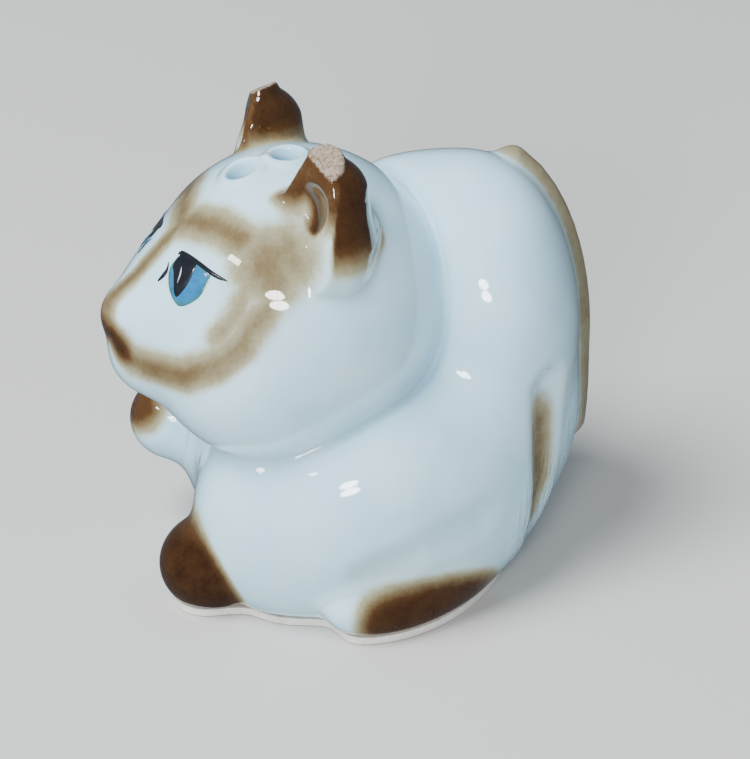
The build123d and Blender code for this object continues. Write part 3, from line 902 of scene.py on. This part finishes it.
def floor_sheet(colour, roughness):
    """A matte sheet on its upper side, clear when it is looked at from below."""
    nodes = Nodes("floor")
    tone = nodes.noise(9.0, 2.0)
    nodes.link(nodes.mix(tone, (*colour, 1.0), tuple(c * 0.96 for c in colour) + (1.0,)),
               nodes.shader.inputs["Base Color"])
    nodes.shader.inputs["Roughness"].default_value = roughness
    sides = nodes.node("ShaderNodeMixShader")
    nodes.link(nodes.node("ShaderNodeNewGeometry").outputs["Backfacing"], sides.inputs[0])
    nodes.link(nodes.shader.outputs[0], sides.inputs[1])
    nodes.link(nodes.node("ShaderNodeBsdfTransparent").outputs[0], sides.inputs[2])
    nodes.link(sides.outputs[0], nodes.output.inputs["Surface"])
    return nodes.material


def make_floor():
    """A pale sheet that is seen from above and clear from below."""
    mesh = bpy.data.meshes.new("floor")
    corners = [(x * FLOOR_REACH, y * FLOOR_REACH, 0.0) for x, y in ((-1, -1), (1, -1), (1, 1), (-1, 1))]
    mesh.from_pydata(corners, [], [(0, 1, 2, 3)])
    mesh.materials.append(floor_sheet((0.60, 0.585, 0.56), 0.85))
    floor = bpy.data.objects.new("floor", mesh)
    floor.location.z = -FLOOR_DROP
    floor.visible_glossy = False
    bpy.context.scene.collection.objects.link(floor)


def direction(azimuth, elevation):
    """Unit vector towards a light or the camera: azimuth 0 is in front, 90 on the kitten's left."""
    a, e = math.radians(azimuth), math.radians(elevation)
    return Vector((math.sin(a) * math.cos(e), -math.cos(a) * math.cos(e), math.sin(e)))


def area_light(name, shape, azimuth, elevation, width, height, power, colour):
    """A soft light that faces the kitten."""
    data = bpy.data.lights.new(name, "AREA")
    data.shape = shape
    data.size, data.size_y = width, height
    data.energy = power
    data.color = colour
    light = bpy.data.objects.new(name, data)
    light.location = LOOK_AT + direction(azimuth, elevation) * LIGHT_DISTANCE
    light.rotation_mode = "QUATERNION"
    light.rotation_quaternion = direction(azimuth, elevation).to_track_quat("Z", "Y")
    bpy.context.scene.collection.objects.link(light)
    return light


def make_lights():
    """A dim blue room, a broad key light in front and small windows for the highlights."""
    world = bpy.data.worlds.new("soft_room")
    world.use_nodes = True
    background = world.node_tree.nodes["Background"]
    background.inputs["Color"].default_value = (0.74, 0.86, 1.0, 1.0)
    tree = world.node_tree
    path = tree.nodes.new("ShaderNodeLightPath")
    dim = tree.nodes.new("ShaderNodeMapRange")
    dim.inputs["To Min"].default_value = SKY
    dim.inputs["To Max"].default_value = SKY_IN_REFLECTIONS
    tree.links.new(path.outputs["Is Glossy Ray"], dim.inputs["Value"])
    tree.links.new(dim.outputs["Result"], background.inputs["Strength"])
    bpy.context.scene.world = world
    key = area_light("key", "DISK", 20.0, 60.0, 0.50, 0.50, 14.0, (0.95, 0.99, 1.0))
    key.visible_glossy = False
    white = (1.0, 1.0, 1.0)
    area_light("window_low", "ELLIPSE", 72.0, 18.5, 0.22, 0.10, 3.0, white)
    area_light("window_high", "ELLIPSE", 68.0, 25.0, 0.22, 0.10, 3.0, white)
    area_light("window_front", "RECTANGLE", 22.0, 38.0, 0.15, 0.055, 1.0, white)


def make_camera():
    """Seen from the kitten's left and a little in front, from above, with a long lens."""
    data = bpy.data.cameras.new("camera")
    data.lens = CAMERA_LENS
    data.sensor_width = 36.0
    data.shift_x, data.shift_y = CAMERA_SHIFT
    data.clip_start = 0.01
    camera = bpy.data.objects.new("camera", data)
    back = direction(CAMERA_AZIMUTH, CAMERA_ELEVATION)
    camera.location = LOOK_AT + back * CAMERA_DISTANCE
    camera.rotation_mode = "QUATERNION"
    camera.rotation_quaternion = back.to_track_quat("Z", "Y")
    bpy.context.scene.collection.objects.link(camera)
    bpy.context.scene.camera = camera


def paint_node(node, material):
    """Gives a CAD node its material; its mesh stays as it is."""
    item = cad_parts[node]
    item.data.materials.clear()
    item.data.materials.append(material)


make_kitten(glazed_porcelain())
make_eyes()
paint_node("foot_plate", bisque())
paint_node("stopper", stopper_rubber())
make_floor()
make_lights()
make_camera()
